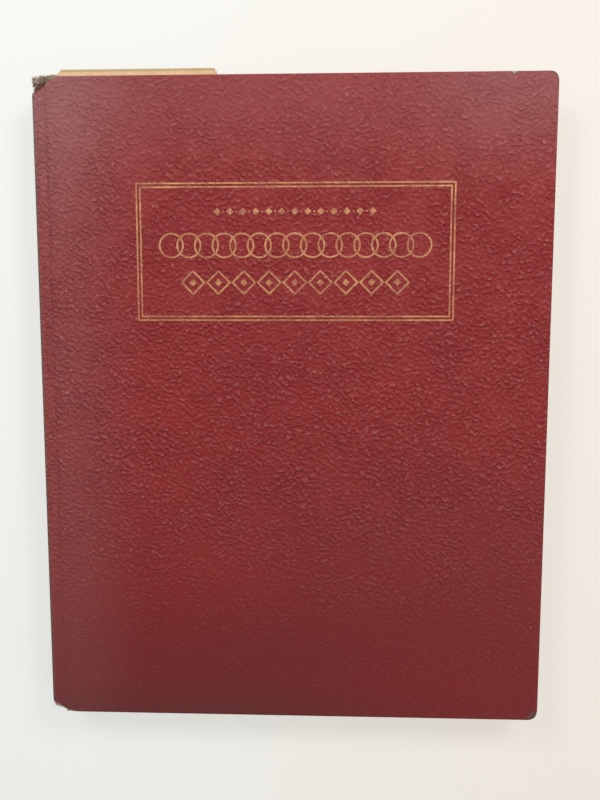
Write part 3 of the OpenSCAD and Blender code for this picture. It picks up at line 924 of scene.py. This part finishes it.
# Over the joint the endpaper comes down on to the leaves
LEAF_SKIN_D = album_t - margin_hi.z - 0.06 * MM
JOINT_FLAT_LO, JOINT_FLAT_HI = 4.0 * MM, 7.6 * MM
ENDPAPER_ROUGH = 0.03 * MM
TURN_IN_GHOST = 0.27


def endpaper_grid(lo, hi):
    """Grids of x and y, close together over the joint, at the edges and where the paper steps down."""
    width = hi.x - spine_lo.x
    xs = [n * MM for n in (2.9, 3.4, 4.0, 4.7, 5.4, 6.1, 6.8, 7.6, 9, 12, 18, 25, 30, 31.2, 31.9, 33)]
    xs += spaced(36 * MM, LIP_X - 4 * MM, 6 * MM)
    xs += [LIP_X + n * MM for n in (-1.6, -0.7, 0, 1, 4, 8)] + [width - 0.6 * MM, width]
    tail, head = lo.y - spine_lo.y, hi.y - spine_lo.y
    ys = [tail, tail + 0.6 * MM] + [LIP_LO + n * MM for n in (-6, -1, 0, 0.7, 1.6)]
    ys += spaced(LIP_LO + 4 * MM, LIP_HI - 4 * MM, 6 * MM)
    ys += [LIP_HI + n * MM for n in (-1.6, -0.7, 0, 1, 6)] + [head - 0.6 * MM, head]
    return np.meshgrid(xs, ys)


def pasted_endpaper(cover, side, seed):
    """The endpaper on a board, sunk between the turned-in covering and carried on to the leaves."""
    node = f"{cover}_pastedown"
    lo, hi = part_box(node)
    x, y = endpaper_grid(lo, hi)
    inside = smooth(TAB_STEP_LO, TAB_STEP_HI, x) * fading(LIP_X - LIP_STEP_W, LIP_X, x)
    inside = inside * smooth(LIP_LO, LIP_LO + LIP_STEP_W, y) * fading(LIP_HI - LIP_STEP_W, LIP_HI, y)
    skin = covered_t + ENDPAPER_T
    depth = skin - SUNK_D * inside + (LEAF_SKIN_D - skin) * fading(JOINT_FLAT_LO, JOINT_FLAT_HI, x)
    under = depth - 0.8 * ENDPAPER_T
    depth = depth + noise_on(x, y, 120, seed) * ENDPAPER_ROUGH * inside
    heights = (album_t - depth, album_t - under) if side > 0 else (depth, under)
    points = np.concatenate([columns_of(x + spine_lo.x, y + spine_lo.y, z) for z in heights])
    faces, sides = sheet_faces(*x.shape)
    faces += sides
    if side < 0:
        faces = [tuple(reversed(face)) for face in faces]
    plan = np.concatenate([columns_of(x, y)] * 2)
    # The turned-in covering shows through as a faint brown frame
    ghost = np.concatenate([(1 - inside).ravel()] * 2) * TURN_IN_GHOST
    wear = np.maximum(edge_age(points, lo, hi, 8 * MM), ghost)
    obj = add_mesh(f"{cover}_endpaper", points, faces, plan, {"wear": wear}, smooth_angle=60)
    paint(obj, [ENDPAPER])
    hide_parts(node)
    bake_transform(obj)


# ---- Envelope ----

PANEL_T = 0.2 * MM
FRONT_PANEL_DROP = 1.25 * MM
BACK_TAPER, FRONT_TAPER = 1.6 * MM, 0.6 * MM
SEAM_W, SEAM_INSET = 9 * MM, 0.3 * MM
SEAM_TAIL_GAP, SEAM_HEAD_GAP = 0.4 * MM, 4 * MM
PANEL_STEP = 3 * MM
PRESSED_W = 1.2 * MM
PANEL_SAG = 0.05 * MM
WORN_EDGE_W = 1.4 * MM


def panel(bm, x0, x1, y0, y1, z0, z1, taper=0.0):
    """A thin panel with pressed edges, drawn in at its two head corners by its taper."""
    xs, ys = spaced(x0, x1, PANEL_STEP), spaced(y0, y1, PANEL_STEP)
    top, bottom = {}, {}
    for j, y in enumerate(ys):
        pull = taper * float(smooth(y1 - 4 * taper - 0.1 * MM, y1, y)) ** 2
        for i, x in enumerate(xs):
            drawn_x = x0 + (x - x0) * (1 - 2 * pull / (x1 - x0)) + pull
            edge = min(x - x0, x1 - x, y - y0, y1 - y)
            thin = 0.35 * (z1 - z0) * max(0.0, 1 - edge / PRESSED_W)
            sag = PANEL_SAG * noise.noise(Vector((x * 40, y * 40, z0 * 900)))
            top[i, j] = bm.verts.new((drawn_x, y, z1 - thin + min(0, sag)))
            bottom[i, j] = bm.verts.new((drawn_x, y, z0 + thin * 0.3))
    nx, ny = len(xs) - 1, len(ys) - 1
    for j in range(ny):
        for i in range(nx):
            bm.faces.new((top[i, j], top[i + 1, j], top[i + 1, j + 1], top[i, j + 1]))
            bm.faces.new((bottom[i, j], bottom[i, j + 1], bottom[i + 1, j + 1], bottom[i + 1, j]))
    rim = [(i, 0) for i in range(nx)] + [(nx, j) for j in range(ny)]
    rim += [(i, ny) for i in range(nx, 0, -1)] + [(0, j) for j in range(ny, 0, -1)]
    for a, b in zip(rim, rim[1:] + rim[:1]):
        bm.faces.new((bottom[a], bottom[b], top[b], top[a]))


def envelope():
    """A manila envelope, open at the head: a back panel, a lower front panel and two seams."""
    lo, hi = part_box("stamp_envelope")
    inner_lo, inner_hi = lo.z + PANEL_T, hi.z - PANEL_T
    bm = bmesh.new()
    panel(bm, lo.x, hi.x, lo.y, hi.y, lo.z, inner_lo, BACK_TAPER)
    back_faces = len(bm.faces)
    panel(bm, lo.x, hi.x, lo.y, hi.y - FRONT_PANEL_DROP, inner_hi, hi.z, FRONT_TAPER)
    for seam_x in (lo.x + SEAM_INSET, hi.x - SEAM_INSET - SEAM_W):
        panel(bm, seam_x, seam_x + SEAM_W, lo.y + SEAM_TAIL_GAP, hi.y - SEAM_HEAD_GAP, inner_lo, inner_hi)
    mesh = bpy.data.meshes.new("stamp_envelope_paper")
    bm.to_mesh(mesh)
    bm.free()
    places = np.array([v.co for v in mesh.vertices])
    away = np.minimum(np.minimum(places[:, 0] - lo.x, hi.x - places[:, 0]), hi.y - places[:, 1])
    lay_on_points(mesh, places[:, :2], {"wear": 0.5 * np.clip(1 - away / WORN_EDGE_W, 0, 1)})
    obj = add_object(mesh)
    # The back panel takes the darker manila, which is painted shade
    paint(obj, [MANILA, MANILA_BACK_PAINTED_SHADE], [int(i < back_faces) for i in range(len(mesh.polygons))])
    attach(obj, "envelope")
    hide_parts("stamp_envelope")


# ---- Stage ----

# The floor glows, so that it is pale and still holds a shadow. Far away it fades into the backdrop
BACKDROP = (0.95, 0.94, 0.92)
WORLD_LEVEL = 0.31
FLOOR_GLOW = 0.64
FLOOR_W, FLOOR_DROP = 6, 0.2 * MM
FLOOR_NEAR, FLOOR_FAR = 0.2, 0.8
# Across these x the floor's glow turns from cool white to a painted warm shade
WARM_SHADE_FROM_X, WARM_SHADE_TO_X = -0.16, 0.2
LIGHT_AIM = (0, 0.05, 0)


def direct_rays(tree):
    """1 for the rays that show a background as it is: the camera's, and those off metal or through glass."""
    path = tree.nodes.new("ShaderNodeLightPath")
    found = path.outputs["Is Camera Ray"]
    for kind in ("Is Glossy Ray", "Is Transmission Ray"):
        larger = tree.nodes.new("ShaderNodeMath")
        larger.operation = "MAXIMUM"
        tree.links.new(found, larger.inputs[0])
        tree.links.new(path.outputs[kind], larger.inputs[1])
        found = larger.outputs[0]
    return found


def floor_material():
    """A matt floor with a glow that only direct rays see, with a painted warm shade on the right."""
    s = Shader("floor")
    s.finish(Base_Color=rgb(232, 231, 228), Roughness=0.9)
    place = s.place()
    far = s.node("ShaderNodeVectorMath", 1, settings={"operation": "LENGTH"}, i0=place)
    far = s.step(far, FLOOR_NEAR, FLOOR_FAR)
    # Painted warm shade on the right of the floor's glow
    warm_shade_share = s.step(s.split(place)[0], WARM_SHADE_FROM_X, WARM_SHADE_TO_X)
    near_tone_with_warm_shade = s.mix(warm_shade_share, rgb(251, 253, 250), rgb(249, 239, 226))
    glow = s.node("ShaderNodeEmission", i0=s.mix(far, near_tone_with_warm_shade, BACKDROP))
    share = s.times(direct_rays(s.tree), s.lerp(far, FLOOR_GLOW, 1.0))
    seen = s.node("ShaderNodeMixShader", i0=share, i1=s.bsdf.outputs[0], i2=glow)
    s.tree.links.new(seen, s.output.inputs[0])
    return s.material


def add_floor():
    bpy.ops.mesh.primitive_plane_add(size=FLOOR_W, location=(0, 0, -FLOOR_DROP))
    floor = bpy.context.object
    floor.name = "floor"
    paint(floor, [floor_material()])


def add_world():
    world = bpy.data.worlds.new("world")
    bpy.context.scene.world = world
    world.use_nodes = True
    tree = world.node_tree
    background = tree.nodes["Background"]
    level = tree.nodes.new("ShaderNodeMapRange")
    tree.links.new(direct_rays(tree), level.inputs["Value"])
    level.inputs["To Min"].default_value = WORLD_LEVEL
    level.inputs["To Max"].default_value = 1.0
    background.inputs["Color"].default_value = (*BACKDROP, 1)
    tree.links.new(level.outputs[0], background.inputs["Strength"])


def area_light(name, place, aim, size, watts, colour):
    data = bpy.data.lights.new(name, "AREA")
    data.shape = "SQUARE"
    data.size = size
    data.energy = watts
    data.color = colour
    lamp = bpy.data.objects.new(name, data)
    lamp.location = place
    lamp.rotation_euler = (Vector(aim) - Vector(place)).to_track_quat("-Z", "Y").to_euler()
    bpy.context.scene.collection.objects.link(lamp)


def add_lights():
    area_light("key_left", (-0.35, 0.45, 0.58), LIGHT_AIM, 0.24, 2.6, (1.0, 0.985, 0.98))
    area_light("key_right", (0.36, 0.46, 0.58), LIGHT_AIM, 0.24, 3.2, (1.0, 0.97, 0.94))
    area_light("fill", (0.60, -0.25, 0.60), (0.05, -0.05, 0), 0.5, 1.0, (1.0, 0.96, 0.92))


# ---- Build ----

# The solids that are shown as they are, with new materials
KEPT_SOLIDS = ((BOARD, ("front_board", "back_board", "spine_card")),
               (MULL, ("front_mull_tab", "back_mull_tab", "spine_mull")),
               (GOLD, ("gilt_outer_rule", "gilt_inner_rule", "gilt_ornament")),
               (PAGE_EDGE, ("gripped_margins", "spine_lining", "guard_strips")),
               (WIRE, ("stitching_staples",)))

bpy.context.scene.view_settings.view_transform = "Standard"
add_camera()
add_floor()
add_world()
add_lights()

for material, node_names in KEPT_SOLIDS:
    for node_name in node_names:
        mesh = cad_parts[node_name].data
        mesh.materials.clear()
        mesh.materials.append(material)

covering("front", 1, FRONT_CORNERS, FRONT_NICKS, 1.7)
covering("back", -1, BACK_CORNERS, BACK_NICKS, 5.1)
worn_spine_card()
fray("head_corner_fray", 1, cover_h, *HEAD_FRAY, 1500, 2.1 * MM, [FLUFF_DARK, FLUFF_OLIVE, FLUFF_TAN])
fray("tail_corner_fray", -1, 0, *TAIL_FRAY, 760, 1.4 * MM, [FLUFF_DARK, FLUFF_PALE, FLUFF_OLIVE])
pasted_endpaper("front", 1, 2.3)
pasted_endpaper("back", -1, 4.9)

leaf_stack("front_flyleaf_paper", "front_flyleaf", "front_flyleaf_body", [ENDPAPER], 1.1)
leaf_stack("title_leaf_paper", "title_leaf", "title_leaf_body", [TITLE_PAGE], 2.1)
for i in (1, 2, 3):
    leaf = f"album_leaf_{i}"
    leaf_stack(f"{leaf}_paper", leaf, f"{leaf}_body", [ALBUM_PAGE], 3.1 + i)
for i in range(1, 9):
    section = f"leaf_section_{i}"
    body = f"{section}_body" if i <= 2 else "text_block"
    leaf_stack(f"{section}_pages", section, body, [ALBUM_PAGE, PAGE_EDGE], 10.0 + i,
               SECTION_LEAVES)
leaf_stack("back_flyleaf_paper", "back_flyleaf", "text_block", [ENDPAPER], 30.1)
envelope()
